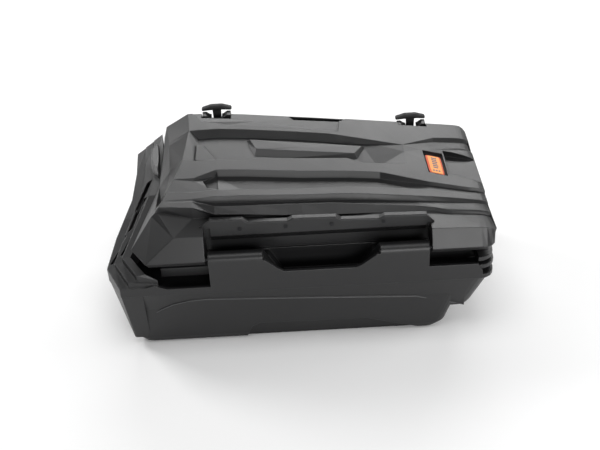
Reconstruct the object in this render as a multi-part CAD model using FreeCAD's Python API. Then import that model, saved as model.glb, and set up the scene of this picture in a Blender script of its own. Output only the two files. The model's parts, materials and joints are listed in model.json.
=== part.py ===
"""Hard saddlebag: a hinged cargo case for a motorcycle or quad rack.

Axes: X along the case, Y from the hinge side to the latch side, Z up.
The origin is at the middle of the bottom, and every length is in millimetres.
"""
import FreeCAD, Part
import math
import os

V = FreeCAD.Vector

# ---- driving dimensions -------------------------------------------------
FRONT = -200.0            # hinge side face of the base
RIM_LOW = 118.0           # underside of the rim deck
DECK_TOP = 125.0          # top of the rim deck
LIP_LEFT = 131.0          # front lip left of the hinge blocks
LIP_RIGHT = 150.0         # front lip right of the hinge blocks
RECESS_LIP = 157.0        # bottom of the hand recess in the front wall
AXIS_Y = -188.0           # hinge axis
AXIS_Z = 183.0
BARREL_R = 12.0
FLANGE_TOP = 171.0        # top of the base wall, under the gasket
LID_LOW = 176.0           # underside of the lid
LID_EDGE = 187.0          # lower edge of the lid bevel
LID_FAR = 176.0           # latch side face of the lid
LID_RIGHT = 346.0
END_ROUND = 28.0          # corner radius of the lid's right end
RIM_ROUND = 24.0          # corner radius of the rim's right end
WALL = 4.0
PLATE = 6.0               # thickness of the front wall
STEP = 12.0               # depth of the grooves in the lid
BADGE_DEEP = 7.0
HOOD_Y = -162.0
PIN_R = 3.0
FIT = 0.06                # running clearance on a radius
GAP = 0.3                 # clearance between bodies
BLOCKS = ((-158.0, -63.0), (142.0, 227.0))
LATCHES = {"left": (-149.0, 284.0), "right": (240.0, 240.0)}
PIVOT_Y = 193.5           # pivots of the straps
PIVOT_Z = 150.0
BOLT_X = 180.0            # half the spacing of the mounting sleeves along X
BOLT_Y = 100.0
SLEEVE_BORE = 4.25
SLEEVE_R = 7.0
DRAIN = (-250.0, -60.0)
HOOD_SCREW_X = (-100.0, -20.0, 60.0, 150.0)
HOOD_SCREW_Z = 226.0
SCREW_R = 2.0             # shank of the hood screws
KEEPER_SCREW_R = 1.6
BRACKET_SCREW_R = 2.5


# ---- helpers ------------------------------------------------------------
def box(x0, x1, y0, y1, z0, z1):
    return Part.makeBox(x1 - x0, y1 - y0, z1 - z0, V(x0, y0, z0))


def rod(start, end, radius):
    axis = V(*end) - V(*start)
    return Part.makeCylinder(radius, axis.Length, V(*start), axis)


def fuse(shapes):
    return shapes[0].fuse(shapes[1:]).removeSplitter() if len(shapes) > 1 else shapes[0]


def poly_face(points):
    return Part.Face(Part.makePolygon(points + [points[0]]))


def plate_xz(outline, y0, y1):
    """A plate parallel to the XZ plane between y0 and y1."""
    face = poly_face([V(x, y0, z) for x, z in outline])
    return face.extrude(V(0, y1 - y0, 0))


def plate_yz(outline, x0, x1):
    face = poly_face([V(x0, y, z) for y, z in outline])
    return face.extrude(V(x1 - x0, 0, 0))


def slab(outline, z0, z1):
    face = poly_face([V(x, y, z0) for x, y in outline])
    return face.extrude(V(0, 0, z1 - z0))


def facets(a, b, c, d):
    """One flat face through four corners, or two triangles if they aren't flat."""
    corners = []
    for point in (a, b, c, d):
        if not corners or (point - corners[-1]).Length > 1e-6:
            corners.append(point)
    if len(corners) > 1 and (corners[0] - corners[-1]).Length < 1e-6:
        corners.pop()
    if len(corners) < 3:
        return []
    if len(corners) == 3:
        return [poly_face(corners)]
    normal = (corners[1] - corners[0]).cross(corners[2] - corners[0])
    if normal.Length > 1e-9:
        off = abs((corners[3] - corners[0]).dot(normal)) / normal.Length
        if off < 1e-6:
            return [poly_face(corners)]
    halves = [[corners[0], corners[1], corners[2]], [corners[0], corners[2], corners[3]]]
    return [poly_face(half) for half in halves if area(half) > 1e-6]


def area(corners):
    return (corners[1] - corners[0]).cross(corners[2] - corners[0]).Length / 2


def cap(loop):
    """Close the end of a skin: one flat face, or triangles round the middle."""
    middle = V(0, 0, 0)
    normal = V(0, 0, 0)
    for point, after in zip(loop, loop[1:] + loop[:1]):
        normal = normal + point.cross(after)
        middle = middle + point * (1.0 / len(loop))
    normal = normal.normalize()
    if max(abs((point - middle).dot(normal)) for point in loop) < 1e-6:
        return [poly_face(loop)]
    return fan(loop)


def fan(loop):
    centre = V(0, 0, 0)
    for point in loop:
        centre = centre + point
    centre = centre * (1.0 / len(loop))
    faces = []
    for index, point in enumerate(loop):
        corners = [centre, point, loop[(index + 1) % len(loop)]]
        if area(corners) > 1e-6:
            faces.append(poly_face(corners))
    return faces


def skin(loops):
    """A closed solid through loops of equal length, one after the other."""
    faces = cap(loops[0]) + cap(loops[-1])
    for first, second in zip(loops, loops[1:]):
        for index in range(len(first)):
            after = (index + 1) % len(first)
            faces += facets(first[index], first[after], second[after], second[index])
    shell = Part.makeShell(faces)
    shell.sewShape()
    solid = Part.Solid(Part.Shell(shell.Faces))
    if solid.Volume < 0:
        solid.reverse()
    return solid


def along(line, x):
    """The values of a feature line at x, straight between its points."""
    if x <= line[0][0]:
        return line[0][1:]
    for left, right in zip(line, line[1:]):
        if x <= right[0]:
            t = (x - left[0]) / (right[0] - left[0])
            return tuple(p + t * (q - p) for p, q in zip(left[1:], right[1:]))
    return line[-1][1:]


def rounded_outline(corners, radii, steps=6):
    """A polygon whose corners are replaced by arcs."""
    points = []
    count = len(corners)
    for index in range(count):
        here = V(*corners[index], 0)
        before = V(*corners[index - 1], 0)
        after = V(*corners[(index + 1) % count], 0)
        points += corner_arc(before, here, after, radii[index], steps)
    return [(p.x, p.y) for p in points]


def corner_arc(before, here, after, radius, steps):
    if radius <= 0:
        return [here]
    to_before = (before - here).normalize()
    to_after = (after - here).normalize()
    half = to_before.getAngle(to_after) / 2
    reach = radius / math.tan(half)
    centre = here + (to_before + to_after).normalize() * (radius / math.sin(half))
    start = here + to_before * reach - centre
    end = here + to_after * reach - centre
    turn = start.getAngle(end)
    points = []
    for step in range(steps + 1):
        t = step / steps
        weight = math.sin(turn)
        part = start * (math.sin((1 - t) * turn) / weight) + end * (math.sin(t * turn) / weight)
        points.append(centre + part)
    return points


# ---- lid ----------------------------------------------------------------
def crown(x, y):
    """Height of the lid's highest surface, which falls to the right and to the front."""
    far = min(280.0, 262.0 - 0.1285 * (x - 10.0))
    slope = 0.06 * min(1.0, max(0.0, (340.0 - x) / 330.0))
    return far - (LID_FAR - y) * slope


# Each line runs along the lid: (x, y, drop below the crown).
LID_LINES = (
    ("terrace edge", ((-182, 107, 0), (54, 112, 0), (102, 104, 0), (213, 81, 0), (282, 115, 0),
                      (346, 115, 0))),
    ("riser foot", ((-182, 96, STEP), (10, 102, STEP), (102, 97, STEP), (213, 80, 0), (282, 107, 6),
                    (346, 109, 6))),
    ("channel", ((-182, 9, STEP), (-79, 10, STEP), (-65, 20, STEP), (100, 33, STEP), (131, 17, STEP),
                 (200, 17, STEP), (213, 60, 0), (346, 89, 6))),
    ("plateau far", ((-182, 3, 0), (-79, 4, 0), (-65, 15, 0), (110, 27, 0), (131, 11, 0), (212, 13, 0),
                     (346, 84, 0))),
    ("plateau near", ((-182, -52, 0), (-142, -29, 0), (94, -17, 0), (158, -18, 0), (246, -47, 0),
                      (346, -71, 0))),
    ("groove one far", ((-182, -56, 3), (-142, -33, STEP), (94, -21, STEP), (158, -22, STEP),
                        (246, -49, 6),
                        (346, -73, 5))),
    ("groove one near", ((-182, -90, 3), (-91, -78, STEP), (90, -57, STEP), (205, -56, STEP),
                         (246, -58, 6),
                         (346, -84, 5))),
    ("ridge one far", ((-182, -95, 0), (-91, -85, 1), (90, -64, 2), (236, -63, 5), (346, -88, 5))),
    ("ridge one near", ((-182, -115, 0), (44, -89, 1), (119, -85, 2), (260, -88, 5), (346, -99, 5))),
    ("groove two far", ((-182, -117, 1), (-138, -114, STEP), (44, -93, STEP), (119, -89, STEP),
                        (260, -93, STEP),
                        (346, -103, 8))),
    ("groove two near", ((-182, -120, 1), (-138, -132, STEP), (43, -107, STEP), (220, -110, STEP),
                         (275, -122, 7),
                         (346, -125, 6))),
    ("ridge two", ((-182, -123, 0), (-136, -141, 0), (43, -114, 1), (230, -119, 4), (275, -126, 6),
                   (346, -127, 6))),
    ("ridge foot", ((-182, -140, 0), (-146, -150, 9), (66, -138, 10), (255, -124, 9), (275, -130, 7),
                    (346, -131, 7))),
)
BEVEL_TOP = ((-214, -181, 228), (230, -184, 221), (330, -184, 217))
STATIONS = (-182, -142, -91, -65, 10, 66, 100, 131, 158, 212, 246, 275, 318)
LEFT_TOP = ((-205, LID_FAR - 8), (-199, 106), (-200, 98), (-206, 10), (-207, 3), (-218, -52), (-220, -56),
            (-228, -90), (-230, -95), (-235, -115), (-236, -118), (-237, -121), (-238, -124),
            (-240, -134))
LEFT_LOW = ((-250, LID_FAR - 8, 253), (-241, 106, 250), (-240, 98, 249.5), (-233, 10, 245),
            (-233, 3, 245),
            (-234, -33, 243), (-236, -45, 240), (-244, -80, 235), (-246, -88, 234), (-249, -106, 232),
            (-250, -110, 238), (-250, -114, 242), (-249, -118, 246), (-246, -130, 252))


def lid_section(x):
    """Outer section of the lid at one x, from the latch side over the top and back underneath."""
    points = [V(x, LID_FAR - 8, crown(x, LID_FAR - 8))]
    for _, line in LID_LINES:
        y, drop = along(line, x)
        points.append(V(x, y, crown(x, y) - drop))
    return points + lid_front(x)


def lid_front(x):
    y, z = along(BEVEL_TOP, x)
    shelf = min(crown(x, -134) - 11.0, z + 11.0 if x < 0 else z + 1.5)
    edge_x = -266 if x <= -182 else x
    top_x = -214 if x <= -182 else x
    skirt_x = -262 if x <= -182 else x
    low = [V(x, -140 if x < 0 else -133, shelf), V(top_x, y, z)]
    low += [V(edge_x, FRONT, LID_EDGE), V(skirt_x, FRONT + 7, LID_LOW)]
    return low + lid_back(skirt_x, edge_x, x)


def lid_back(skirt_x, edge_x, top_x):
    far_top = crown(top_x, LID_FAR) - 8.0
    return [V(skirt_x, LID_FAR - 7, LID_LOW), V(edge_x, LID_FAR, LID_EDGE), V(top_x, LID_FAR, far_top)]


def lid_left_end():
    """The sloping left end: an upper and a lower edge of the end facet."""
    upper = [V(x, y, crown(x, y)) for x, y in LEFT_TOP]
    upper += [V(-244, -131, 249), V(-255, -128, 239), V(-295, -155, LID_EDGE), V(-288, -150, LID_LOW)]
    upper += [V(-262, LID_FAR - 7, LID_LOW), V(-268, LID_FAR, LID_EDGE), V(-207, LID_FAR, 271)]
    lower = [V(*point) for point in LEFT_LOW]
    lower += [V(-248, -129, 247), V(-257, -127.5, 237), V(-296, -154, LID_EDGE), V(-289, -149, LID_LOW)]
    lower += [V(-263, LID_FAR - 7, LID_LOW), V(-270, LID_FAR, LID_EDGE), V(-252, LID_FAR, 247)]
    return [lower, upper]


def lid_right_end():
    """Sections that draw in round the right end, with rounded corners."""
    loops = []
    for angle in (20, 40, 60, 80):
        x = LID_RIGHT - END_ROUND * (1 - math.sin(math.radians(angle)))
        inset = END_ROUND * (1 - math.cos(math.radians(angle)))
        loop = []
        for point in lid_section(318.0):
            y = max(FRONT + inset, min(LID_FAR - inset, point.y))
            z = point.z - (inset / 4 if point.z > LID_EDGE else 0.0)
            loop.append(V(x - (6.0 if point.z < LID_EDGE else 0.0), y,
                          max(z - 0.1285 * (x - 318), LID_LOW)))
        loops.append(loop)
    return loops


def flat_end(loop):
    """The last loop pressed flat at the right end, so that it closes with one face."""
    return [V(LID_RIGHT - (6.0 if point.z < LID_EDGE else 0.0), point.y, point.z) for point in loop]


def lid_outer():
    loops = lid_left_end()
    loops += [lid_section(x) for x in STATIONS]
    loops += lid_right_end()
    loops[-1] = flat_end(loops[-1])
    return skin(loops)


def lid_cavity():
    """Inside of the lid: a lower copy of the crown, clear of every groove."""
    near, far = -136.0, LID_FAR - 12.0
    loops = []
    for x, top_x in ((-226.0, -210.0), (-205.0, -192.0), (10.0, 10.0), (200.0, 200.0), (332.0, 328.0)):
        cover = STEP + (7.0 if top_x > -190 else 10.0)
        loops.append([V(x, near, LID_LOW - 2), V(top_x, near + 4, crown(x, near) - cover),
                      V(top_x, far - 4, crown(x, far) - cover), V(x, far, LID_LOW - 2)])
    return skin(loops)


BADGE = ((251, 58), (281, 48), (281, -18), (252, -8))


def badge_seat(x, y):
    """Height of the plane that follows the crown round the badge."""
    slope_x = (crown(281, 20) - crown(251, 20)) / 30
    slope_y = (crown(266, 58) - crown(266, -18)) / 76
    return crown(266, 20) + slope_x * (x - 266) + slope_y * (y - 20)


def badge_slab(scale, depth, height):
    """The badge outline about its middle, from a depth below its seat upwards."""
    cx = sum(corner[0] for corner in BADGE) / 4
    cy = sum(corner[1] for corner in BADGE) / 4
    outline = [(cx + (x - cx) * scale, cy + (y - cy) * scale) for x, y in BADGE]
    return poly_face([V(x, y, badge_seat(x, y) - depth) for x, y in outline]).extrude(V(0, 0, height))


def facet_block(low, high):
    """A solid between two outlines of equal length, given as (x, y, height)."""
    return skin([[V(*point) for point in low], [V(*point) for point in high]])


def over_crown(outline, drop):
    return [(x, y, crown(x, y) - drop) for x, y in outline]


def channel_bar():
    """The raised bar in the channel, pointed at its right end."""
    low = over_crown(((-90, 86), (-74, 33), (-40, 33), (122, 40), (143, 80), (60, 85)), STEP + 2)
    high = over_crown(((-82, 80), (-70, 50), (-40, 50), (116, 50), (132, 76), (60, 79)), STEP - 8)
    return facet_block(low, high)


def channel_wedge():
    """The low wedge at the left end of the channel."""
    low = over_crown(((-184, 74), (-168, 70), (-138, 20), (-150, 8), (-184, 8)), STEP + 2)
    high = ((-183, 66), (-170, 62), (-146, 20), (-152, 14), (-183, 14))
    high = [(x, y, crown(x, y) - STEP + 6 - 4 * (x + 183) / 37) for x, y in high]
    return facet_block(low, high)


def crown_pocket(outline, depth):
    """A pocket cut straight down from above, with a floor that follows the crown."""
    low = over_crown(outline, depth)
    high = [(x, y, crown(x, y) + 20) for x, y in outline]
    return facet_block(low, high)


DISH = ((-196, 169), (-178, 139), (-130, 124), (20, 123), (90, 120), (96, 181), (-196, 181))
GROOVE_END = ((-141, -30), (-166, -55), (-158, -76), (-138, -79))


def lid_shell():
    lid = lid_outer()
    lid = lid.fuse([channel_bar(), channel_wedge()])
    lid = lid.cut(crown_pocket(DISH, 2.2))
    lid = lid.cut(crown_pocket(GROOVE_END, STEP))
    lid = lid.cut(lid_cavity())
    lid = lid.cut(box(-163, 232, FRONT - 1, HOOD_Y + 4.5, LID_LOW - 1, 290))
    lid = lid.cut(box(-163, 232, FRONT - 1, -148, LID_LOW - 1, 209))
    for x0, x1 in ((-176, -160), (230, 245)):
        lid = lid.cut(rod((x0, AXIS_Y, AXIS_Z), (x1, AXIS_Y, AXIS_Z), PIN_R + FIT))
    lid = lid.cut(hood_body())
    lid = lid.cut(cowl_clearance())
    lid = lid.cut(badge_slab(1.2, BADGE_DEEP, 40.0))
    lid = lid.cut(slab(((287, 66), (352, 40), (352, -44), (287, -18)), 213, 300))
    for side, (x, top) in LATCHES.items():
        lid = lid.cut(box(x - 29, x + 29, LID_FAR - 20, LID_FAR + 5, top - 22, 320))
    lid = lid.cut(slab(((-6, 171), (3, 159), (98, 159), (110, 171)), 238, 320))
    for x in HOOD_SCREW_X:
        lid = lid.cut(rod((x, HOOD_Y, HOOD_SCREW_Z), (x, HOOD_Y + 14, HOOD_SCREW_Z), SCREW_R))
    for x, top in LATCHES.values():
        for dx in (-18, 18):
            lid = lid.cut(rod((x + dx, LID_FAR - 12, top - 40), (x + dx, LID_FAR - 12, top - 10),
                              KEEPER_SCREW_R))
    return lid


# ---- hinge hood ---------------------------------------------------------
HOOD_TOP = ((-152, 247), (-95, 245), (-86, 239), (-17, 237), (-8, 242), (68, 240), (77, 234), (143, 232),
            (152, 237), (226, 235))
CREASE = 213.0


def hood_section(x, top):
    under = V(x, -148.5, 196)
    return [V(x, HOOD_Y, top - 1.5), V(x, HOOD_Y + 1.5, top), V(x, -151, top), V(x, -151, top - 3),
            V(x, HOOD_Y + 4.2, top - 3), V(x, HOOD_Y + 4.2, CREASE + 1), V(x, -148.5, 201), under,
            V(x, HOOD_Y, CREASE)]


def hood_end(x, tip, top, side):
    """The hooked end of the hood, a slanting fin."""
    outline = ((x, top - 1.5), (tip, top - 15), (tip + 4 * side, top - 19), (x, top - 17))
    return plate_xz(outline, HOOD_Y, HOOD_Y + 3)


def hood_body():
    hood = skin([hood_section(x, top) for x, top in HOOD_TOP])
    return fuse([hood, hood_end(-152, -172, 247, 1), hood_end(226, 239, 235, -1)])


def hinge_hood():
    hood = hood_body()
    for x in HOOD_SCREW_X:
        hood = hood.cut(rod((x, HOOD_Y - 1, HOOD_SCREW_Z), (x, HOOD_Y + 6, HOOD_SCREW_Z), SCREW_R))
    return hood


def hood_screws():
    screws = []
    for x in HOOD_SCREW_X:
        head = Part.makeCone(3.6, 2.4, 1.6, V(x, HOOD_Y - 1.6, HOOD_SCREW_Z), V(0, 1, 0))
        screws.append(head.fuse(rod((x, HOOD_Y, HOOD_SCREW_Z), (x, HOOD_Y + 13, HOOD_SCREW_Z), SCREW_R)))
    return Part.makeCompound(screws)


# ---- base ---------------------------------------------------------------
RIM = [(-318, FRONT), (-346, -147), (-337, -110), (-325, -61), (-316, 0), (-312, 56), (-314, 117),
       (-319, 183), (312, 183), (344, 150)]
for quarter in range(5):
    turn = math.radians(22.5 * quarter)
    RIM.append((344 - RIM_ROUND * (1 - math.cos(turn)), FRONT + RIM_ROUND * (1 - math.sin(turn))))
INNER_LEFT = -232.0
INNER_RIGHT = 328.0
WALL_NEAR = -147.0        # outside of the inner near wall
WALL_FAR = 172.0
CURVE = ((-306, 38), (-298, 42), (-281, 57), (-252, 78), (-230, 90), (-199, 98), (-169, 100), (-2, 90),
         (207, 76),
         (248, 64), (282, 50), (296, 45))
FOOT_Y = -189.0
SLANT = math.tan(math.radians(13))
ARCH = ((-104, -1), (-92, 26), (-78, 33), (118, 31), (226, -1))


def tub_outer():
    """The body under the rim deck, drawn in towards the bottom, and its foot."""
    levels = ((44.0, 284.0, -311.0, -181.0, 163.0), (47.0, 295.0, -311.7, -181.3, 163.4),
              (54.0, 304.0, -313.5, -181.9, 164.4), (66.0, 311.0, -316.4, -183.0, 166.1),
              (RIM_LOW + 3, 338.0, -330.0, -188.0, 174.0))
    loops = []
    for z, right, left, near, far in levels:
        corners = ((left, near), (right, near), (right, far), (left, far))
        outline = rounded_outline(corners, (34, 30, 40, 40))
        loops.append([V(x, y, z) for x, y in outline])
    return skin(loops).fuse(foot())


def foot():
    loops = []
    levels = ((0.0, 246.0, -293.0, FOOT_Y + 7, 146.0), (3.0, 253.0, -300.0, FOOT_Y + 2, 151.0),
              (12.0, 265.0, -309.0, FOOT_Y, 155.0), (95.0, 296.0, -326.0, FOOT_Y, 160.0))
    for z, right, left, near, far in levels:
        outline = rounded_outline(((left, near), (right, near), (right, far), (left, far)),
                                  (26, 26, 36, 36))
        loops.append([V(x, y, z) for x, y in outline])
    body = skin(loops)
    return body.cut(plate_xz(ARCH, FOOT_Y - 4, FOOT_Y + 9))


def front_band():
    """The slanting band under the rim, whose lower edge is a long curve with a bead."""
    loops = []
    for x, z in CURVE:
        y = FRONT + 1.5 + (RIM_LOW - z) * SLANT
        loops.append([V(x, FRONT + 1.5, RIM_LOW + 1), V(x, y, z + 2), V(x, y - 1.2, z + 1.2),
                      V(x, y - 0.6, z - 0.8),
                      V(x, y + 14, z), V(x, FRONT + 20, RIM_LOW + 1)])
    return skin(loops)


def corner_lobes():
    """The lower corners of the hinge side: a slanting facet on the left and a rounded nose on the right."""
    left_high = [(-345, -147), (-318, -198.5), (-280, -198.5), (-280, -100), (-336, -100)]
    left_low = [(-309, -186), (-306, -188), (-280, -188), (-280, -150), (-308, -150)]
    left = skin([[V(x, y, 14) for x, y in left_low], [V(x, y, RIM_LOW + 1) for x, y in left_high]])
    levels = ((42.0, 302.0, -176.0, 150.0, 22), (44.0, 309.0, -180.0, 156.0, 26), (52.0, 315.0, -183.0, 160.0, 30),
              (RIM_LOW + 1, 343.5, -198.5, 172.0, 34))
    loops = []
    for z, right, near, far, radius in levels:
        corners = ((270, near), (right, near), (right, far), (270, far))
        loops.append([V(x, y, z) for x, y in rounded_outline(corners, (0, radius, radius, 0))])
    return [left, skin(loops)]


def front_wall():
    """The upright front wall with both lips, the hinge blocks' faces and the hand recess."""
    (l0, l1), (r0, r1) = BLOCKS
    outline = ((-317, RIM_LOW), (-317, 126), (-258, 140), (-236, LIP_LEFT), (l0, LIP_LEFT), (l0, AXIS_Z),
               (l1, AXIS_Z), (l1 + 4, 183), (-38, 164), (-27, RECESS_LIP), (98, RECESS_LIP), (109, 162),
               (r0 - 6, 183), (r0, AXIS_Z), (r1, AXIS_Z), (r1, LIP_RIGHT), (313, LIP_RIGHT), (320, 136),
               (322, 134), (322, RIM_LOW))
    return plate_xz(outline, FRONT, FRONT + PLATE)


def hinge_block(x0, x1, slant):
    """A block with a rounded top round the hinge pin; one end slopes into the hand recess."""
    left = -36.0 if slant < 0 else 0.0
    right = 36.0 if slant > 0 else 0.0
    body = plate_xz(((x0 + left, DECK_TOP - 2), (x1 + right, DECK_TOP - 2), (x1, AXIS_Z), (x0, AXIS_Z)),
                    FRONT + 0.5, -165)
    web = plate_xz(((x0 + left, DECK_TOP - 2), (x1 + right, DECK_TOP - 2), (x1 + right * 0.3, 168),
                    (x0 + left * 0.3, 168)), -166, WALL_NEAR + 1)
    barrel = rod((x0, AXIS_Y, AXIS_Z), (x1, AXIS_Y, AXIS_Z), BARREL_R)
    return fuse([body, web, barrel])


def cowl_rows():
    """Rows of the stepped left end, from the front round the corner to the latch side."""
    rim = ((-250, FRONT, 131), (-318, FRONT, 127), (-346, -147, 134), (-335, -80, 147), (-324, -33, 154),
           (-314, 20, 162), (-312, 100, 173), (-319, 183, 184))
    inner = ((-250, -193, 150), (-270, -192, 163), (-300, -151, 172), (-268, -86, 203), (-247, -31, 226),
             (-245, 20, 230), (-253, 100, 234), (-262, 178, 232))
    return rim, inner


def cowl():
    """Three nested ledges that climb from the rim to the lid's left end and fade out at the latch side."""
    loops = []
    for outer, top in zip(*cowl_rows()):
        outer, top = V(*outer), V(*top)
        loop = [V(outer.x, outer.y, RIM_LOW)]
        riser, tread = (0.05, 0.95) if outer.y > 150 else (0.75, 0.85)
        for step in range(3):
            a = outer + (top - outer) * (step / 3)
            b = outer + (top - outer) * ((step + 1) / 3)
            loop += [V(a.x, a.y, a.z + (b.z - a.z) * riser), V(b.x, b.y, a.z + (b.z - a.z) * tread)]
        loop.append(V(top.x, top.y, DECK_TOP - 1 + (top.z - DECK_TOP) * 0.35))
        loops.append(loop)
    return skin(loops)


LUG = ((-256, 18), (-267, 34), (-275, 66), (-277, 118), (-270, 136), (-265, 130), (-261, 104), (-256, 50))


def cowl_lug():
    """The eight-sided block on the cowl, with a bevelled top."""
    cx = sum(x for x, _ in LUG) / 8
    cy = sum(y for _, y in LUG) / 8
    loops = []
    for z, scale in ((190, 1.0), (233, 1.0), (240, 0.72)):
        loops.append([V(cx + (x - cx) * scale, cy + (y - cy) * scale, z) for x, y in LUG])
    return skin(loops)


COWL_POCKETS = (((-274, 40, 193), (-291, -42, 187), 9), ((-280, -12, 190), (-301, -86, 172), 9),
                ((-312, -92, 154), (-334, -138, 141), 7), ((-294, -92, 172), (-314, -134, 156), 7))


def cowl_pockets():
    """Four pockets sunk in the ledges; each floor slopes with its ledge."""
    pockets = []
    for (x0, y0, z0), (x1, y1, z1), width in COWL_POCKETS:
        lean = 8 if width > 8 else 0
        outline = [V(x0, y0, z0), V(x1, y1, z1), V(x1 - width, y1, z1), V(x0 - width, y0, z0)]
        outline = [V(p.x, p.y + (lean if index < 2 else 0), p.z) for index, p in enumerate(outline)]
        slope = (z0 - z1) / (y0 - y1)
        outline = [V(p.x, p.y, z0 + slope * (p.y - y0)) for p in outline]
        pockets.append(poly_face(outline).extrude(V(0, 0, 60)))
    return pockets


def cowl_clearance():
    """Room for the cowl under the lid: a smooth ramp just above its ledges."""
    loops = []
    for outer, top in list(zip(*cowl_rows()))[2:]:
        y_outer, y_top = (200, 200) if outer[1] > 150 else (outer[1], top[1])
        rise = (top[2] - outer[2]) / 3
        shelf_x = outer[0] + (top[0] - outer[0]) * 2 / 3
        shelf_y = y_outer + (y_top - y_outer) * 2 / 3
        loops.append([V(outer[0] - 20, y_outer, 100), V(outer[0] - 20, y_outer,
                                                        outer[2] + rise * 0.75 + 1),
                      V(shelf_x, shelf_y, outer[2] + rise * 2.75 + 1),
                      V(top[0] + 1.2, y_top, top[2] - rise * 0.15 + 1),
                      V(top[0] + 1.2, y_top, 100)])
    return skin(loops)


def end_ledges():
    """Two thin ledges round the right end under the lid."""
    parts = []
    for z, inset in ((141, 0), (156, 2)):
        corners = ((200, FRONT + 3 + inset), (345 - inset, FRONT + 3 + inset), (345 - inset, 178),
                   (200, 178))
        outline = rounded_outline(corners, (0, 28, 34, 0))
        ledge = slab(outline, z - 4, z + 4)
        ledge = ledge.cut(box(190, 314, -210, WALL_NEAR, z - 10, z + 10))
        parts.append(ledge)
    return parts


def upper_wall():
    corners = ((INNER_LEFT - 14, WALL_NEAR), (INNER_RIGHT + 6, WALL_NEAR), (INNER_RIGHT + 6, WALL_FAR),
               (INNER_LEFT - 14, WALL_FAR))
    return slab(rounded_outline(corners, (20, 24, 30, 20)), DECK_TOP - 1, FLANGE_TOP)


def cavity():
    """The load space: wide under the deck and narrower between the upper walls."""
    loops = []
    levels = ((5.0, 238.0, -282.0, -174.0, 142.0), (46.0, 262.0, -303.0, -174.0, 150.0),
              (50.0, 278.0, -304.0, -174.0, 154.0), (60.0, 294.0, -306.0, -175.0, 157.0),
              (112.0, 328.0, -320.0, -181.0, 167.0))
    for z, right, left, near, far in levels:
        outline = rounded_outline(((left, near), (right, near), (right, far), (left, far)),
                                  (22, 24, 32, 32))
        loops.append([V(x, y, z) for x, y in outline])
    low = skin(loops)
    corners = ((INNER_LEFT, WALL_NEAR + WALL), (INNER_RIGHT, WALL_NEAR + WALL),
               (INNER_RIGHT, WALL_FAR - WALL),
               (INNER_LEFT, WALL_FAR - WALL))
    high = slab(rounded_outline(corners, (16, 20, 26, 16)), 110, FLANGE_TOP + 30)
    return low.fuse(high)


def latch_pad(x):
    """The pad on the far wall that a latch bracket is screwed to."""
    return box(x - 30, x + 30, WALL_FAR - 1, 183.0, DECK_TOP - 1, 164.0)


def base_solid():
    deck = slab(RIM, RIM_LOW, DECK_TOP)
    rim_outer = slab(RIM, RIM_LOW, 134)
    inset = [(x * 0.985 + (0.3 if x > 0 else -0.3), y * 0.97) for x, y in RIM]
    rim = rim_outer.cut(slab(inset, RIM_LOW - 1, 140)).cut(box(-400, 400, -210, -150, 126, 150))
    parts = [tub_outer(), front_band(), deck, rim, front_wall(), upper_wall(), cowl().cut(cowl_pockets()),
             cowl_lug()]
    parts += corner_lobes()
    parts += [hinge_block(*BLOCKS[0], 1), hinge_block(*BLOCKS[1], -1)]
    parts += end_ledges() + [latch_pad(x) for x, _ in LATCHES.values()]
    parts.append(plate_yz(((-172, 138), (-172, 156), (-160, 160), (-146, 160), (-146, 138)), -246, -158))
    return fuse(parts)


def base_shell():
    base = base_solid()
    base = base.cut(cavity())
    base = base.cut(rod((-170, AXIS_Y, AXIS_Z), (-50, AXIS_Y, AXIS_Z), PIN_R))
    base = base.cut(rod((130, AXIS_Y, AXIS_Z), (240, AXIS_Y, AXIS_Z), PIN_R))
    for x, y in sleeve_places():
        base = base.cut(rod((x, y, -1), (x, y, 8), SLEEVE_R))
    base = base.cut(rod((*DRAIN, -1), (*DRAIN, 8), 9.0))
    for x, _ in LATCHES.values():
        for dx in (-20, 20):
            base = base.cut(rod((x + dx, 171, PIVOT_Z), (x + dx, 190, PIVOT_Z), BRACKET_SCREW_R))
    return base


def sleeve_places():
    return [(sx * BOLT_X - 20, sy * BOLT_Y - 10) for sx in (-1, 1) for sy in (-1, 1)]


# ---- hinge hardware -----------------------------------------------------
def hinge_pins():
    left = rod((-174, AXIS_Y, AXIS_Z), (BLOCKS[0][1] - 2, AXIS_Y, AXIS_Z), PIN_R)
    right = rod((BLOCKS[1][0] + 2, AXIS_Y, AXIS_Z), (243, AXIS_Y, AXIS_Z), PIN_R)
    return left, right


# ---- small parts --------------------------------------------------------
def seal():
    outer = rounded_outline(((INNER_LEFT - 8, WALL_NEAR + 2), (INNER_RIGHT + 4, WALL_NEAR + 2),
                             (INNER_RIGHT + 4, WALL_FAR - 1), (INNER_LEFT - 8, WALL_FAR - 1)),
                             (18, 22, 28, 18))
    inner = rounded_outline(((INNER_LEFT + 2, WALL_NEAR + 9), (INNER_RIGHT - 4, WALL_NEAR + 9),
                             (INNER_RIGHT - 4, WALL_FAR - 9), (INNER_LEFT + 2, WALL_FAR - 9)),
                             (14, 16, 20, 14))
    z0 = FLANGE_TOP + GAP
    return slab(outer, z0, LID_LOW).cut(slab(inner, z0 - 1, LID_LOW + 1))


def floor_mat():
    mat = slab(rounded_outline(((-276, -168), (232, -168), (232, 136), (-276, 136)), (20, 20, 28, 28)),
               5.0, 8.0)
    for x, y in sleeve_places():
        mat = mat.cut(rod((x, y, 4), (x, y, 9), 13.0))
    return mat.cut(rod((*DRAIN, 4), (*DRAIN, 9), 14.0))


def sleeves():
    parts = []
    for x, y in sleeve_places():
        outer = rod((x, y, 0), (x, y, 6.5), SLEEVE_R).fuse(rod((x, y, 5.0), (x, y, 6.5), 11.0))
        parts.append(outer.cut(rod((x, y, -1), (x, y, 8), SLEEVE_BORE)))
    return Part.makeCompound(parts)


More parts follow.
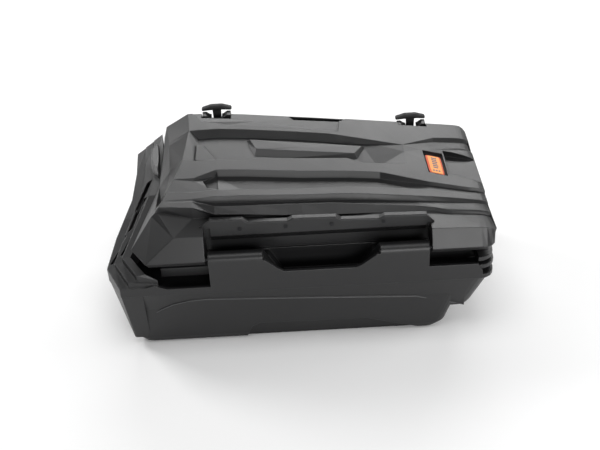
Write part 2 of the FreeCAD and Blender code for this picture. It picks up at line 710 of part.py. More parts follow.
def drain_plug():
    x, y = DRAIN
    plug = fuse([rod((x, y, 1), (x, y, 5), 9.0), rod((x, y, 5), (x, y, 8), 12.5)])
    return plug.cut(box(x - 8, x + 8, y - 1.2, y + 1.2, 6.5, 9))


def badge():
    return badge_slab(0.94, BADGE_DEEP, 2.0)


# ---- latches ------------------------------------------------------------
STRAP_X = 9.0             # half the width of the strap
GRIP_Y = 186.6            # near face of the grip, just clear of the keeper


def bracket(x):
    """Two cheeks on a foot plate that hold the strap's pivot pin."""
    plate = box(x - 27, x + 27, 183.0, 185.0, 138, 162)
    cheeks = [box(x + s * 13 - 2, x + s * 13 + 2, 185.0, 199, 141, 159) for s in (-1, 1)]
    body = fuse([plate] + cheeks)
    body = body.cut(rod((x - 20, PIVOT_Y, PIVOT_Z), (x + 20, PIVOT_Y, PIVOT_Z), 2.0))
    for dx in (-20, 20):
        body = body.cut(rod((x + dx, 182, PIVOT_Z), (x + dx, 186, PIVOT_Z), BRACKET_SCREW_R))
    return body


def bracket_screws():
    parts = []
    for x, _ in LATCHES.values():
        for dx in (-20, 20):
            head = Part.makeCone(4.4, 3.0, 2.0, V(x + dx, 185.0, PIVOT_Z), V(0, 1, 0))
            parts.append(head.fuse(rod((x + dx, 171, PIVOT_Z), (x + dx, 185.0, PIVOT_Z),
                                       BRACKET_SCREW_R)))
    return Part.makeCompound(parts)


def pivot_pin(x):
    return rod((x - 16.5, PIVOT_Y, PIVOT_Z), (x + 16.5, PIVOT_Y, PIVOT_Z), 2.0)


def strap(x, top):
    """The rubber strap: an eye, a ribbed stretch and a T-shaped grip."""
    eye = rod((x - 10, PIVOT_Y, PIVOT_Z), (x + 10, PIVOT_Y, PIVOT_Z), 6.0)
    blade = box(x - STRAP_X, x + STRAP_X, PIVOT_Y - 4, PIVOT_Y + 3, PIVOT_Z, top - 8)
    ribs = [box(x - STRAP_X, x + STRAP_X, PIVOT_Y + 2, PIVOT_Y + 5, z, z + 5)
            for z in range(int(PIVOT_Z) + 14, int(top) - 30, 11)]
    grip_outline = ((x - 30, top - 8), (x - 27, top - 1.5), (x - 12, top), (x + 12, top),
                    (x + 27, top - 1.5),
                    (x + 30, top - 8), (x + 27, top - 10), (x - 27, top - 10))
    grip = plate_xz(grip_outline, GRIP_Y, 200.0)
    body = fuse([eye, blade] + ribs + [grip])
    return body.cut(rod((x - 12, PIVOT_Y, PIVOT_Z), (x + 12, PIVOT_Y, PIVOT_Z), 2.0 + FIT))


def keeper(x, top):
    """A cup with two flared ears behind the strap's grip."""
    z0 = top - 22
    parts = [box(x - 24, x + 24, LID_FAR - 19, LID_FAR - 2, z0, z0 + 3)]
    for s in (-1, 1):
        ear = ((x + s * 10.5, z0), (x + s * 10.5, z0 + 5), (x + s * 14, z0 + 6), (x + s * 21, z0 + 11),
               (x + s * 28, z0 + 10.5), (x + s * 28.7, z0 + 4), (x + s * 25, z0))
        parts.append(plate_xz(ear, LID_FAR - 8, GRIP_Y - 0.6))
    body = fuse(parts)
    for dx in (-18, 18):
        body = body.cut(rod((x + dx, LID_FAR - 12, z0 - 1), (x + dx, LID_FAR - 12, z0 + 4),
                            KEEPER_SCREW_R))
    return body


def keeper_screws():
    parts = []
    for x, top in LATCHES.values():
        z0 = top - 22
        for dx in (-18, 18):
            head = Part.makeCone(3.0, 2.0, 1.4, V(x + dx, LID_FAR - 12, z0 + 3), V(0, 0, 1))
            parts.append(head.fuse(rod((x + dx, LID_FAR - 12, z0 - 10), (x + dx, LID_FAR - 12, z0 + 3),
                                       KEEPER_SCREW_R)))
    return Part.makeCompound(parts)


# ---- all nodes ----------------------------------------------------------
def main():
    os.makedirs("parts", exist_ok=True)
    pin_left, pin_right = hinge_pins()
    nodes = {
        "base_shell": base_shell(),
        "lid_shell": lid_shell(),
        "hinge_hood": hinge_hood(),
        "hood_screws": hood_screws(),
        "hinge_pin_left": pin_left,
        "hinge_pin_right": pin_right,
        "lid_seal": seal(),
        "badge_plate": badge(),
        "floor_mat": floor_mat(),
        "mounting_sleeves": sleeves(),
        "drain_plug": drain_plug(),
        "bracket_screws": bracket_screws(),
        "keeper_screws": keeper_screws(),
    }
    for side, (x, top) in LATCHES.items():
        nodes["latch_bracket_" + side] = bracket(x)
        nodes["latch_pin_" + side] = pivot_pin(x)
        nodes["latch_strap_" + side] = strap(x, top)
        nodes["latch_keeper_" + side] = keeper(x, top)
    for name, shape in nodes.items():
        size = shape.BoundBox
        print(name, shape.isValid(), len(shape.Solids), round(shape.Volume / 1000, 1),
              [round(v, 1) for v in (size.XMin, size.XMax, size.YMin, size.YMax, size.ZMin, size.ZMax)])
        shape.exportStep("parts/" + name + ".step")


main()
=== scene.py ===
"""Looks for the hard saddlebag: moulded finishes, straps, badge, floor, lights and camera."""

import json
import math

import bmesh
import bpy
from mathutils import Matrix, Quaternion, Vector


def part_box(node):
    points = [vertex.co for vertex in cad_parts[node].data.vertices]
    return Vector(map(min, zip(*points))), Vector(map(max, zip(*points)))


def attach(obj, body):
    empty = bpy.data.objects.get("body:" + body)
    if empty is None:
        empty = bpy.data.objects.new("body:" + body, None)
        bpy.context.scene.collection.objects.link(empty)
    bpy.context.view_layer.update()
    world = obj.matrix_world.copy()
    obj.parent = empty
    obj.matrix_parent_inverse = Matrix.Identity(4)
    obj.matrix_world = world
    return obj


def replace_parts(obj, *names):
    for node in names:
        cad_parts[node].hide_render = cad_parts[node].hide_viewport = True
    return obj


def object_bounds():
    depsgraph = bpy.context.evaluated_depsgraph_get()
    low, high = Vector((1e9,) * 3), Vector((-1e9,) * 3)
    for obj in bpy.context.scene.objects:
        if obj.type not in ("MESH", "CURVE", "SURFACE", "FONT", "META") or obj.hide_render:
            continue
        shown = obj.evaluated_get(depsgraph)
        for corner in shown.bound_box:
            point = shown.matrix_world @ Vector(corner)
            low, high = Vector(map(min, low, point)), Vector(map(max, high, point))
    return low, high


bl_info = {
    "name": "Saddlebag looks",
    "version": (1, 0, 0),
    "blender": (4, 5, 0),
    "location": "3D View > Sidebar > Saddlebag",
    "description": "Finishes and soft pieces for a hinged hard saddlebag",
    "category": "Object",
}

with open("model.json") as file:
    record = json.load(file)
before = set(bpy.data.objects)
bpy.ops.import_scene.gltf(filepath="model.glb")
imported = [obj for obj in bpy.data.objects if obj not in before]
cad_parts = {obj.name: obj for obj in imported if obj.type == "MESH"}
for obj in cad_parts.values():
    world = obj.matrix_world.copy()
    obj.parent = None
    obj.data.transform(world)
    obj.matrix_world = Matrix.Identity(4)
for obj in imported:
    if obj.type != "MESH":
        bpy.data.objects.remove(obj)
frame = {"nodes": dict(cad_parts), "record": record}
CAD_BOX = [list(corner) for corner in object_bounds()]
NODES = frame["nodes"]

# Strap measures, in metres.
GRIP_STEPS = 40
GRIP_FLAT = 0.36          # share of the half grip whose top is level
GRIP_DROOP = 0.0062       # from the level top down to the grip's ends
GRIP_HEIGHT = 0.0105
BLADE_HALF_WIDTH = 0.0090
BLADE_WAIST = 0.0012      # how much the blade narrows at its middle
BLADE_NEAR = 0.0040       # near face, from the pivot's axis
BLADE_FAR = 0.0030        # far face between the ribs
RIB_FAR = 0.0050          # far face on a rib
RIB_START = 0.014         # first rib, above the pivot
RIB_END = 0.026           # last rib, below the top of the grip
RIB_PITCH = 0.011
RIB_WIDTH = 0.005
BLADE_STEP = 0.0005
EYE_RADIUS = 0.006
EYE_BORE = 0.0024
EYE_HALF = 0.010
EYE_STEPS = 32

# The lower edge of the slanting band, as (x, z) in metres.
BAND_EDGE = ((-0.306, 0.038), (-0.298, 0.042), (-0.281, 0.057), (-0.252, 0.078), (-0.230, 0.090),
             (-0.199, 0.098), (-0.169, 0.100), (-0.002, 0.090), (0.207, 0.076), (0.248, 0.064),
             (0.282, 0.050))
BAND_SETBACK = 0.0012     # of the band's top behind the case's near face
BAND_SLANT = math.tan(math.radians(13))
RIM_HEIGHT = 0.118

# The badge's layers, in metres above its plate's top.
BADGE_UNDER = -0.0019
FIELD_UNDER = -0.0002
FIELD_TOP = 0.0004
BAR_UNDER = 0.0003
BAR_TOP = 0.0006
TILE_BEVEL = 0.0002
BAR_COUNT = 6
BAR_PITCH = 0.105         # share of the badge's length


# ---- shader maths -------------------------------------------------------
class Value:
    """A shader socket that can stand in a Python expression."""

    def __init__(self, finish, socket):
        self.finish = finish
        self.socket = socket

    def _maths(self, operation, first, second):
        return self.finish.add("ShaderNodeMath", {"operation": operation}, {0: first, 1: second})

    def __add__(self, other):
        return self._maths("ADD", self, other)

    def __radd__(self, other):
        return self._maths("ADD", other, self)

    def __sub__(self, other):
        return self._maths("SUBTRACT", self, other)

    def __rsub__(self, other):
        return self._maths("SUBTRACT", other, self)

    def __mul__(self, other):
        return self._maths("MULTIPLY", self, other)

    def __rmul__(self, other):
        return self._maths("MULTIPLY", other, self)

    def clamp(self, low, high):
        return self._maths("MAXIMUM", self._maths("MINIMUM", self, high), low)


class Finish:
    """A node material that is built from Python expressions."""

    def __init__(self, name):
        self.material = bpy.data.materials.new(name)
        self.material.use_nodes = True
        self.tree = self.material.node_tree
        self.shader = self.tree.nodes["Principled BSDF"]
        self.place = self.add("ShaderNodeTexCoord", {}, {}, "Object")

    def add(self, kind, settings, sockets, output=0):
        """A node of one kind: its settings first, then the values or links of its sockets."""
        node = self.tree.nodes.new(kind)
        for name, value in settings.items():
            setattr(node, name, value)
        for key, value in sockets.items():
            self._feed(node.inputs[key], value)
        return Value(self, node.outputs[output])

    def _feed(self, socket, value):
        if isinstance(value, Value):
            self.tree.links.new(value.socket, socket)
        else:
            socket.default_value = value

    def set(self, **sockets):
        for name, value in sockets.items():
            self._feed(self.shader.inputs[name.replace("_", " ")], value)

    def noise(self, scale, detail=3.0, rough=0.5):
        sockets = {"Vector": self.place, "Scale": scale, "Detail": detail, "Roughness": rough}
        return self.add("ShaderNodeTexNoise", {}, sockets, "Fac")

    def ramp(self, value, low, high):
        """0 below low and 1 above high, with a straight rise between."""
        sockets = {"Value": value, "From Min": low, "From Max": high}
        return self.add("ShaderNodeMapRange", {"clamp": True}, sockets, "Result")

    def mix(self, share, first, second):
        return self.add("ShaderNodeMix", {"data_type": "RGBA"}, {0: share, 6: first, 7: second}, 2)

    def rounded(self, radius):
        """The normal that rounded edges of this radius would have."""
        return self.add("ShaderNodeBevel", {"samples": 6}, {"Radius": radius}, "Normal")

    def edge(self, radius):
        """1 on sharp edges and 0 on flats."""
        true_normal = self.add("ShaderNodeNewGeometry", {}, {}, "Normal")
        soft = self.add("ShaderNodeBevel", {"samples": 4}, {"Radius": radius}, "Normal")
        sockets = {0: true_normal, 1: soft}
        lean = self.add("ShaderNodeVectorMath", {"operation": "DOT_PRODUCT"}, sockets, "Value")
        return self.ramp(1.0 - lean, 0.02, 0.30)

    def crease_shade(self, reach):
        """1 deep in grooves and corners and 0 on open surfaces: the mask for the painted shade."""
        open_sky = self.add("ShaderNodeAmbientOcclusion", {"samples": 6}, {"Distance": reach}, "AO")
        return 1.0 - self.ramp(open_sky, 0.35, 0.95)

    def bump(self, height, distance, normal):
        sockets = {"Height": height, "Distance": distance, "Strength": 1.0, "Normal": normal}
        return self.add("ShaderNodeBump", {}, sockets, "Normal")


def tint(colour, share=1.0, lift=0.0):
    """A colour made lighter or darker, with its alpha."""
    return tuple(min(1.0, channel * share + lift) for channel in colour) + (1.0,)


def moulded_plastic(name, colour, look):
    """Satin charcoal plastic: fine grain, soft sheen changes, slightly polished edges that are also painted
    lighter, partly as a painted highlight and partly as rubbed wear, and painted shade in grooves and
    corners.
    """
    finish = Finish(name)
    grain = finish.noise(look.grain_scale, 2.0)
    cloud = finish.noise(9.0, 4.0)
    scuff = finish.ramp(finish.noise(55.0, 6.0, 0.7), 0.60, 0.74)
    edge = finish.edge(look.edge_radius * 1.5)
    crease_shade = finish.crease_shade(0.007)
    base = finish.mix(cloud, tint(colour, 0.86), tint(colour, 1.12))
    # edges painted lighter: a painted highlight on every sharp edge, made stronger where the scuff noise
    # adds rubbed wear
    base = finish.mix(edge * (0.35 + 0.4 * scuff), base, tint(colour, 1.9, 0.02))
    # painted shade: the base colour is darkened to a third in grooves and corners that the occlusion mask
    # finds enclosed
    base = finish.mix(crease_shade * 0.8, base, tint(colour, 0.3))
    rough = look.plastic_roughness + 0.10 * (cloud - 0.5) + 0.07 * (grain - 0.5)
    rough = rough - 0.10 * edge + 0.25 * crease_shade
    normal = finish.bump(grain, look.grain_depth, finish.rounded(look.edge_radius))
    finish.set(Base_Color=base, Roughness=rough.clamp(0.2, 0.9), Normal=normal)
    return finish.material


def moulded_rubber(name, colour, ribs=0.0):
    """Dull rubber with a dusty bloom, and fine ribs across it where asked."""
    finish = Finish(name)
    dust = finish.noise(60.0, 5.0, 0.65)
    fine = finish.noise(1400.0, 2.0)
    if ribs:
        sockets = {"Vector": finish.place, "Scale": ribs}
        fine = fine + 8.0 * finish.add("ShaderNodeTexWave", {"bands_direction": "Y"}, sockets, "Fac")
    edge = finish.edge(0.0012)
    base = finish.mix(dust * 0.5 + edge * 0.3, tint(colour), tint(colour, 1.8, 0.006))
    normal = finish.bump(fine, 0.00005, finish.rounded(0.0010))
    finish.set(Base_Color=base, Roughness=(0.55 + 0.2 * dust).clamp(0.3, 0.95), Normal=normal)
    return finish.material


def worked_metal(name, colour, roughness):
    """Turned or plated steel with fine marks and a little handling wear."""
    finish = Finish(name)
    marks = finish.noise(420.0, 3.0, 0.6)
    stain = finish.noise(40.0, 4.0)
    edge = finish.edge(0.0006)
    base = finish.mix(edge * 0.5 + stain * 0.2, tint(colour), tint(colour, 1.4, 0.05))
    rough = roughness + 0.15 * (marks - 0.5) + 0.1 * stain
    normal = finish.bump(marks, 0.00003, finish.rounded(0.0004))
    finish.set(Base_Color=base, Metallic=1.0, Roughness=rough.clamp(0.1, 0.8), Normal=normal)
    return finish.material


def enamel(name, colour):
    """Thin satin enamel with a faint orange-peel surface and rubbed patches."""
    finish = Finish(name)
    peel = finish.noise(700.0, 2.0)
    rubbed = finish.ramp(finish.noise(130.0, 5.0, 0.7), 0.62, 0.75)
    base = finish.mix(rubbed * 0.35, tint(colour), tint(colour, 0.75))
    rough = 0.45 + 0.12 * peel + 0.2 * rubbed
    normal = finish.bump(peel, 0.00002, finish.rounded(0.0004))
    finish.set(Base_Color=base, Roughness=rough.clamp(0.15, 0.8), Normal=normal)
    return finish.material


def floor_paper(name, colour):
    """Smooth pale paper with a faint tooth."""
    finish = Finish(name)
    tooth = finish.noise(300.0, 3.0)
    shade = finish.noise(1.5, 2.0)
    base = finish.mix(shade * 0.25, tint(colour), tint(colour, 0.985))
    finish.set(Base_Color=base, Roughness=0.85 + 0.1 * (tooth - 0.5))
    return finish.material


def wear(node_name, material):
    """Give a carried-over node one material on all its slots."""
    node = NODES[node_name]
    if not node.material_slots:
        raise RuntimeError(node_name + " has no material slot")
    for material_slot in node.material_slots:
        material_slot.material = material


# ---- sizes and colours --------------------------------------------------
def colour_prop(name, description, default):
    return bpy.props.FloatVectorProperty(name=name, description=description, default=default,
                                         subtype="COLOR", size=3, min=0.0, max=1.0)


def length_prop(name, description, default, low, high):
    return bpy.props.FloatProperty(name=name, description=description, default=default, min=low, max=high,
                                   unit="LENGTH", precision=6)


def angle_prop(name, description, degrees):
    return bpy.props.FloatProperty(name=name, description=description, default=math.radians(degrees),
                                   unit="ROTATION")


def power_prop(name, description, watts):
    return bpy.props.FloatProperty(name=name, description=description, default=watts, min=0.0, unit="POWER")


class SaddlebagFinish(bpy.types.PropertyGroup):
    """Colours and surface of the moulded parts."""

    base_colour: colour_prop("Base plastic", "Colour of the lower case", (0.008, 0.008, 0.0085))
    lid_colour: colour_prop("Lid plastic", "Colour of the lid", (0.010, 0.010, 0.0105))
    hood_colour: colour_prop("Hood plastic", "Colour of the hinge hood", (0.008, 0.008, 0.0085))
    rubber_colour: colour_prop("Rubber", "Colour of straps and seal", (0.004, 0.004, 0.0045))
    badge_border: colour_prop("Badge border", "Colour of the badge's border", (0.75, 0.075, 0.0))
    badge_field: colour_prop("Badge field", "Colour of the badge's middle", (0.90, 0.33, 0.06))
    badge_marks: colour_prop("Badge bars", "Colour of the plain bars on the badge", (0.10, 0.10, 0.13))
    mat_colour: colour_prop("Floor mat", "Colour of the mat inside", (0.010, 0.010, 0.0105))
    # the bead's colour is far lighter than the case plastic: a painted highlight
    bead_highlight_colour: colour_prop("Bead", "Colour of the bead on the band", (0.05, 0.05, 0.052))
    bead_radius: length_prop("Bead radius", "Radius of the bead on the band", 0.0013, 0.0002, 0.005)
    strap_voxel: length_prop("Strap fineness", "Size of the cells that shape the straps", 0.0007, 0.0003,
                             0.003)
    plastic_roughness: bpy.props.FloatProperty(name="Plastic roughness", default=0.41, min=0.1, max=1.0,
                                               description="Mean roughness of the plastic",
                                               subtype="FACTOR")
    grain_scale: bpy.props.FloatProperty(name="Grain scale", description="Fineness of the moulded grain",
                                         default=900.0, min=50.0, max=4000.0)
    grain_depth: length_prop("Grain depth", "Height of the moulded grain", 0.00010, 0.0, 0.001)
    edge_radius: length_prop("Edge radius", "Radius that moulded edges seem to have", 0.0020, 0.0001, 0.01)


class SaddlebagStage(bpy.types.PropertyGroup):
    """Floor, lights and camera."""

    floor_colour: colour_prop("Floor", "Colour of the floor", (0.97, 0.97, 0.97))
    lens: bpy.props.FloatProperty(name="Lens", description="Focal length on a 36 mm sensor", default=58.8,
                                  min=10.0, max=200.0, unit="CAMERA")
    distance: length_prop("Distance", "From the camera to the middle of the case", 1.9, 0.5, 10.0)
    aim_height: length_prop("Aim height", "Height of the point that the camera looks at", 0.114, 0.0, 1.0)
    pitch: angle_prop("Pitch", "How far the camera looks down", 35.0)
    roll: angle_prop("Roll", "How far the camera leans clockwise", 3.15)
    back_light: power_prop("Back light", "Power of the large light behind", 78.0)
    front_light: power_prop("Front light", "Power of the light above the front", 66.0)
    top_light: power_prop("Top light", "Power of the light overhead", 34.0)
    left_light: power_prop("Left light", "Power of the light behind on the left", 60.0)
    side_light: power_prop("Side light", "Power of the light on the right", 24.0)


# ---- mesh tools ---------------------------------------------------------
def soft_ring(centre, across, up, sharp=4.0, count=24):
    """A rounded rectangle about a centre, given its two half axes."""
    ring = []
    for index in range(count):
        turn = 2 * math.pi * (index + 0.5) / count
        cosine, sine = math.cos(turn), math.sin(turn)
        share = (abs(cosine) ** sharp + abs(sine) ** sharp) ** (-1 / sharp)
        ring.append(centre + across * (cosine * share) + up * (sine * share))
    return ring


def loft(mesh, rings, closed=False):
    """Skin rings of equal length one after the other; an open run gets a face at each end."""
    rows = [[mesh.verts.new(point) for point in ring] for ring in rings]
    pairs = list(zip(rows, rows[1:]))
    if closed:
        pairs.append((rows[-1], rows[0]))
    else:
        mesh.faces.new(list(reversed(rows[0])))
        mesh.faces.new(rows[-1])
    for first, second in pairs:
        for index, vert in enumerate(first):
            after = (index + 1) % len(first)
            mesh.faces.new((vert, first[after], second[after], second[index]))


def piece_from(name, mesh, material, body):
    """Turn a bmesh into a piece that rides on a body."""
    bmesh.ops.recalc_face_normals(mesh, faces=mesh.faces)
    data = bpy.data.meshes.new(name)
    mesh.to_mesh(data)
    mesh.free()
    data.materials.append(material)
    piece = bpy.data.objects.new(name, data)
    bpy.context.collection.objects.link(piece)
    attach(piece, body)
    return piece


def melt_together(piece, voxel, passes):
    """Fuse a piece's crossing solids into one soft skin."""
    remesh = piece.modifiers.new("fuse", "REMESH")
    remesh.mode = "VOXEL"
    remesh.voxel_size = voxel
    smooth = piece.modifiers.new("soften", "SMOOTH")
    smooth.factor = 0.5
    smooth.iterations = passes
    bpy.context.view_layer.update()
    fused = bpy.data.meshes.new_from_object(piece.evaluated_get(bpy.context.evaluated_depsgraph_get()))
    piece.modifiers.clear()
    rough = piece.data
    piece.data = fused
    bpy.data.meshes.remove(rough)
    for polygon in fused.polygons:
        polygon.use_smooth = True


# ---- pieces -------------------------------------------------------------
class SADDLEBAG_OT_shells(bpy.types.Operator):
    """Give the base, the lid and the hinge hood their moulded plastic."""

    bl_idname = "saddlebag.shells"
    bl_label = "Shells"

    def execute(self, context):
        look = context.scene.saddlebag_finish
        wear("base_shell", moulded_plastic("base plastic", look.base_colour, look))
        wear("lid_shell", moulded_plastic("lid plastic", look.lid_colour, look))
        wear("hinge_hood", moulded_plastic("hood plastic", look.hood_colour, look))
        return {"FINISHED"}


class SADDLEBAG_OT_hardware(bpy.types.Operator):
    """Give pins, screws, sleeves, brackets and keepers their finishes."""

    bl_idname = "saddlebag.hardware"
    bl_label = "Hardware"

    def execute(self, context):
        look = context.scene.saddlebag_finish
        bright = worked_metal("ground steel", (0.55, 0.55, 0.56), 0.3)
        black = worked_metal("black zinc", (0.03, 0.03, 0.032), 0.5)
        darker = tuple(channel * 0.45 for channel in look.base_colour)
        plate = moulded_plastic("latch plastic", darker, look)
        for name in ("latch_pin_left", "latch_pin_right", "mounting_sleeves"):
            wear(name, bright)
        for name in ("hinge_pin_left", "hinge_pin_right", "hood_screws", "bracket_screws", "keeper_screws"):
            wear(name, black)
        for side in ("left", "right"):
            wear("latch_bracket_" + side, plate)
            wear("latch_keeper_" + side, plate)
        return {"FINISHED"}


class SADDLEBAG_OT_rubber(bpy.types.Operator):
    """Give the seal, the plug and the mat their rubber."""

    bl_idname = "saddlebag.rubber"
    bl_label = "Rubber parts"

    def execute(self, context):
        look = context.scene.saddlebag_finish
        rubber = moulded_rubber("black rubber", look.rubber_colour)
        for name in ("lid_seal", "drain_plug"):
            wear(name, rubber)
        wear("floor_mat", moulded_rubber("ribbed mat", look.mat_colour, ribs=45.0))
        return {"FINISHED"}


def strap_grip(mesh, centre_x, low, high):
    """The crowned bar at the top of a strap, rounded at both ends."""
    middle_y = (low.y + high.y) / 2
    half_x = (high.x - low.x) / 2
    half_y = (high.y - low.y) / 2
    rings = []
    for step in range(-GRIP_STEPS, GRIP_STEPS + 1):
        share = abs(step) / GRIP_STEPS
        droop = GRIP_DROOP * max(0.0, (share - GRIP_FLAT) / (1 - GRIP_FLAT))
        top = high.z - droop
        bottom = high.z - GRIP_HEIGHT - 0.15 * droop
        tuck = math.sqrt(max(0.0, 1 - max(0.0, (share - 0.9) / 0.1) ** 2)) * 0.4 + 0.6
        centre = Vector((centre_x + half_x * step / GRIP_STEPS, middle_y, (top + bottom) / 2))
        half_z = (top - bottom) / 2
        rings.append(soft_ring(centre, Vector((0, half_y * tuck, 0)), Vector((0, 0, half_z * tuck)), 3.4))
    loft(mesh, rings)


def strap_blade(mesh, pivot, top):
    """The flat stretch between the pivot and the grip, with ribs on its far face."""
    rings = []
    height = pivot.z
    end = top - GRIP_HEIGHT / 2
    while height < end:
        above = height - pivot.z
        ribbed = above > RIB_START and height < top - RIB_END
        far = RIB_FAR if ribbed and (above - RIB_START) % RIB_PITCH < RIB_WIDTH else BLADE_FAR
        half_x = BLADE_HALF_WIDTH - BLADE_WAIST * math.sin(math.pi * above / (end - pivot.z))
        centre = Vector((pivot.x, pivot.y + (far - BLADE_NEAR) / 2, height))
        half_y = (far + BLADE_NEAR) / 2
        rings.append(soft_ring(centre, Vector((half_x, 0, 0)), Vector((0, half_y, 0)), 5.0))
        height += BLADE_STEP
    loft(mesh, rings)


def strap_eye(mesh, pivot):
    """The sleeve round the pivot pin."""
    wall = (EYE_RADIUS - EYE_BORE) / 2
    rings = []
    for index in range(EYE_STEPS):
        turn = 2 * math.pi * index / EYE_STEPS
        out = Vector((0, math.cos(turn), math.sin(turn)))
        centre = pivot + out * (EYE_BORE + wall)
        rings.append(soft_ring(centre, Vector((EYE_HALF, 0, 0)), out * wall, 5.0, 16))
    loft(mesh, rings, closed=True)


class SADDLEBAG_OT_straps(bpy.types.Operator):
    """Mould the two rubber latch straps: an eye, a ribbed stretch and a crowned grip."""

    bl_idname = "saddlebag.straps"
    bl_label = "Latch straps"

    def execute(self, context):
        look = context.scene.saddlebag_finish
        rubber = moulded_rubber("strap rubber", look.rubber_colour)
        for joint in frame["record"]["behaviour"]["joints"]:
            body = joint["child"]
            if not body.startswith("strap_"):
                continue
            node = "latch_" + body
            low, high = (Vector(corner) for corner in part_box(node))
            pivot = Vector(joint["pos_m"])
            mesh = bmesh.new()
            strap_grip(mesh, pivot.x, low, high)
            strap_blade(mesh, pivot, high.z)
            strap_eye(mesh, pivot)
            strap = piece_from("rubber_" + body, mesh, rubber, body)
            melt_together(strap, look.strap_voxel, 6)
            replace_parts(strap, node)
        return {"FINISHED"}


def plate_corners(node_name):
    """The corners of a slanting plate's top face, in order round its middle."""
    data = NODES[node_name].data
    top = {tuple(round(value, 6) for value in data.vertices[index].co)
           for face in data.polygons if face.normal.z > 0.9 for index in face.vertices}
    corners = [Vector(point) for point in top]
    middle = sum(corners, Vector()) / len(corners)
    corners.sort(key=lambda corner: math.atan2(corner.y - middle.y, corner.x - middle.x))
    if len(corners) != 4:
        raise RuntimeError(node_name + " has a top face without four corners")
    return corners


class Plate:
    """Places on the badge: across and along run from 0 to 1, and up is in metres."""

    def __init__(self, node_name):
        near_left, near_right, far_right, far_left = plate_corners(node_name)
        self.near = (near_left, near_right)
        self.far = (far_left, far_right)
        self.up = (near_right - near_left).cross(far_left - near_left).normalized()

    def point(self, across, along, up):
        near = self.near[0].lerp(self.near[1], across)
        far = self.far[0].lerp(self.far[1], across)
        return near.lerp(far, along) + self.up * up

    def tile(self, mesh, across, along, low, high):
        """A flat tile with soft corners and a narrow bevel."""
        rings = []
        for up, shrink in ((low, 1.0), (high - TILE_BEVEL, 1.0), (high, 0.985)):
            ring = []
            for spot in soft_ring(Vector((0, 0, 0)), Vector((1, 0, 0)), Vector((0, 1, 0)), 14.0, 48):
                u = sum(across) / 2 + (across[1] - across[0]) / 2 * spot.x * shrink
                v = sum(along) / 2 + (along[1] - along[0]) / 2 * spot.y * shrink
                ring.append(self.point(u, v, up))
            rings.append(ring)
        loft(mesh, rings)


class SADDLEBAG_OT_badge(bpy.types.Operator):
    """Make the enamelled badge: an orange plate, a pale field and a plain pattern of bars."""

    bl_idname = "saddlebag.badge"
    bl_label = "Badge"

    def execute(self, context):
        look = context.scene.saddlebag_finish
        plate = Plate("badge_plate")
        border = bmesh.new()
        plate.tile(border, (0.0, 1.0), (0.0, 1.0), BADGE_UNDER, 0.0)
        orange = enamel("orange enamel", look.badge_border)
        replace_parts(piece_from("badge_border", border, orange, "lid"), "badge_plate")
        field = bmesh.new()
        plate.tile(field, (0.13, 0.90), (0.02, 0.98), FIELD_UNDER, FIELD_TOP)
        piece_from("badge_field", field, enamel("pale enamel", look.badge_field), "lid")
        bars = bmesh.new()
        for bar in range(BAR_COUNT):
            start = 0.30 + BAR_PITCH * bar
            end = 0.66 + 0.04 * (bar % 2)
            plate.tile(bars, (0.34, end), (start, start + 0.062), BAR_UNDER, BAR_TOP)
        for across in (0.27, 0.45, 0.63):
            plate.tile(bars, (across, across + 0.11), (0.12, 0.19), BAR_UNDER, BAR_TOP)
        piece_from("badge_bars", bars, enamel("slate enamel", look.badge_marks), "lid")
        return {"FINISHED"}


class SADDLEBAG_OT_bead(bpy.types.Operator):
    """Lay the bead along the lower edge of the slanting band, in plastic painted lighter as a highlight."""

    bl_idname = "saddlebag.bead"
    bl_label = "Band bead"

    def execute(self, context):
        look = context.scene.saddlebag_finish
        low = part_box("base_shell")[0]
        data = bpy.data.curves.new("band_bead", "CURVE")
        data.dimensions = "3D"
        data.bevel_depth = look.bead_radius
        data.bevel_resolution = 3
        data.use_fill_caps = True
        spline = data.splines.new("POLY")
        spline.points.add(len(BAND_EDGE) - 1)
        for point, (x, z) in zip(spline.points, BAND_EDGE):
            point.co = (x, low[1] + BAND_SETBACK + (RIM_HEIGHT - z) * BAND_SLANT, z, 1.0)
        # painted highlight: the bead is the case plastic in a much lighter colour, with the same roughness
        data.materials.append(moulded_plastic("highlight-painted bead", look.bead_highlight_colour, look))
        bead = bpy.data.objects.new("band_bead", data)
        context.collection.objects.link(bead)
        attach(bead, "base")
        return {"FINISHED"}


# ---- floor, lights and camera -------------------------------------------
def soft_light(name, place, aim, size, power):
    """A rectangular studio light that faces a point."""
    data = bpy.data.lights.new(name, "AREA")
    data.shape = "RECTANGLE"
    data.size = size[0]
    data.size_y = size[1]
    data.energy = power
    light = bpy.data.objects.new(name, data)
    bpy.context.collection.objects.link(light)
    light.location = place
    light.rotation_mode = "QUATERNION"
    light.rotation_quaternion = (Vector(aim) - Vector(place)).to_track_quat("-Z", "Y")
    return light


def floor_sheet(half, material):
    """A wide flat sheet under the case."""
    mesh = bpy.data.meshes.new("floor")
    grid = bmesh.new()
    bmesh.ops.create_grid(grid, x_segments=8, y_segments=8, size=half)
    bmesh.ops.translate(grid, verts=grid.verts, vec=(0, 0, CAD_BOX[0][2] - 0.0005))
    grid.to_mesh(mesh)
    grid.free()
    mesh.materials.append(material)
    floor = bpy.data.objects.new("floor", mesh)
    bpy.context.collection.objects.link(floor)


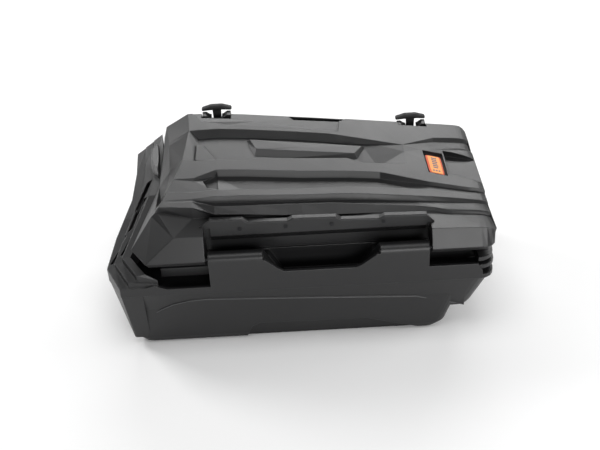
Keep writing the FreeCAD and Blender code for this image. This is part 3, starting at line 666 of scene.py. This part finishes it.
class SADDLEBAG_OT_stage(bpy.types.Operator):
    """Make the pale floor, the soft lights and the camera."""

    bl_idname = "saddlebag.stage"
    bl_label = "Floor, lights and camera"

    def execute(self, context):
        stage = context.scene.saddlebag_stage
        floor_sheet(6.0, floor_paper("floor paper", stage.floor_colour))
        soft_light("back light", (0.5, 3.0, 1.95), (0, 0, 0.2), (3.8, 1.0), stage.back_light)
        soft_light("front light", (1.0, -3.0, 1.05), (0, 0, 0.15), (2.6, 0.8), stage.front_light)
        soft_light("side light", (2.8, 0.2, 1.4), (0, 0, 0.2), (1.2, 1.6), stage.side_light)
        soft_light("left light", (-2.6, 1.7, 2.0), (0, 0, 0.2), (1.2, 1.2), stage.left_light)
        soft_light("top light", (0.0, -0.4, 3.2), (0, 0, 0), (2.4, 1.6), stage.top_light)
        world = bpy.data.worlds.new("studio")
        world.use_nodes = True
        sky = world.node_tree.nodes["Background"]
        sky.inputs["Color"].default_value = (0.8, 0.8, 0.8, 1.0)
        sky.inputs["Strength"].default_value = 0.15
        context.scene.world = world
        context.scene.view_settings.view_transform = "Standard"
        self.camera(context, stage)
        return {"FINISHED"}

    def camera(self, context, stage):
        data = bpy.data.cameras.new("camera")
        data.lens = stage.lens
        data.sensor_width = 36.0
        camera = bpy.data.objects.new("camera", data)
        context.collection.objects.link(camera)
        low, high = Vector(CAD_BOX[0]), Vector(CAD_BOX[1])
        aim = Vector(((low.x + high.x) / 2 + 0.005, (low.y + high.y) / 2, low.z + stage.aim_height))
        back = Vector((0.0, -math.cos(stage.pitch), math.sin(stage.pitch)))
        camera.location = aim + back * stage.distance
        camera.rotation_mode = "QUATERNION"
        camera.rotation_quaternion = (-back).to_track_quat("-Z", "Y") @ Quaternion((0, 0, 1), -stage.roll)
        context.scene.camera = camera


class SADDLEBAG_PT_panel(bpy.types.Panel):
    """Lists the case's pieces."""

    bl_label = "Saddlebag"
    bl_idname = "SADDLEBAG_PT_panel"
    bl_space_type = "VIEW_3D"
    bl_region_type = "UI"
    bl_category = "Saddlebag"

    def draw(self, context):
        for operator in OPERATORS:
            self.layout.operator(operator.bl_idname)


OPERATORS = (SADDLEBAG_OT_shells, SADDLEBAG_OT_hardware, SADDLEBAG_OT_rubber, SADDLEBAG_OT_straps,
             SADDLEBAG_OT_badge, SADDLEBAG_OT_bead, SADDLEBAG_OT_stage)
CLASSES = (SaddlebagFinish, SaddlebagStage) + OPERATORS + (SADDLEBAG_PT_panel,)


def register():
    for cls in CLASSES:
        bpy.utils.register_class(cls)
    bpy.types.Scene.saddlebag_finish = bpy.props.PointerProperty(type=SaddlebagFinish)
    bpy.types.Scene.saddlebag_stage = bpy.props.PointerProperty(type=SaddlebagStage)


def unregister():
    del bpy.types.Scene.saddlebag_stage
    del bpy.types.Scene.saddlebag_finish
    for cls in reversed(CLASSES):
        bpy.utils.unregister_class(cls)


def main():
    register()
    bpy.ops.saddlebag.shells()
    bpy.ops.saddlebag.hardware()
    bpy.ops.saddlebag.rubber()
    bpy.ops.saddlebag.straps()
    bpy.ops.saddlebag.badge()
    bpy.ops.saddlebag.bead()
    bpy.ops.saddlebag.stage()


if __name__ == "__main__":
    main()
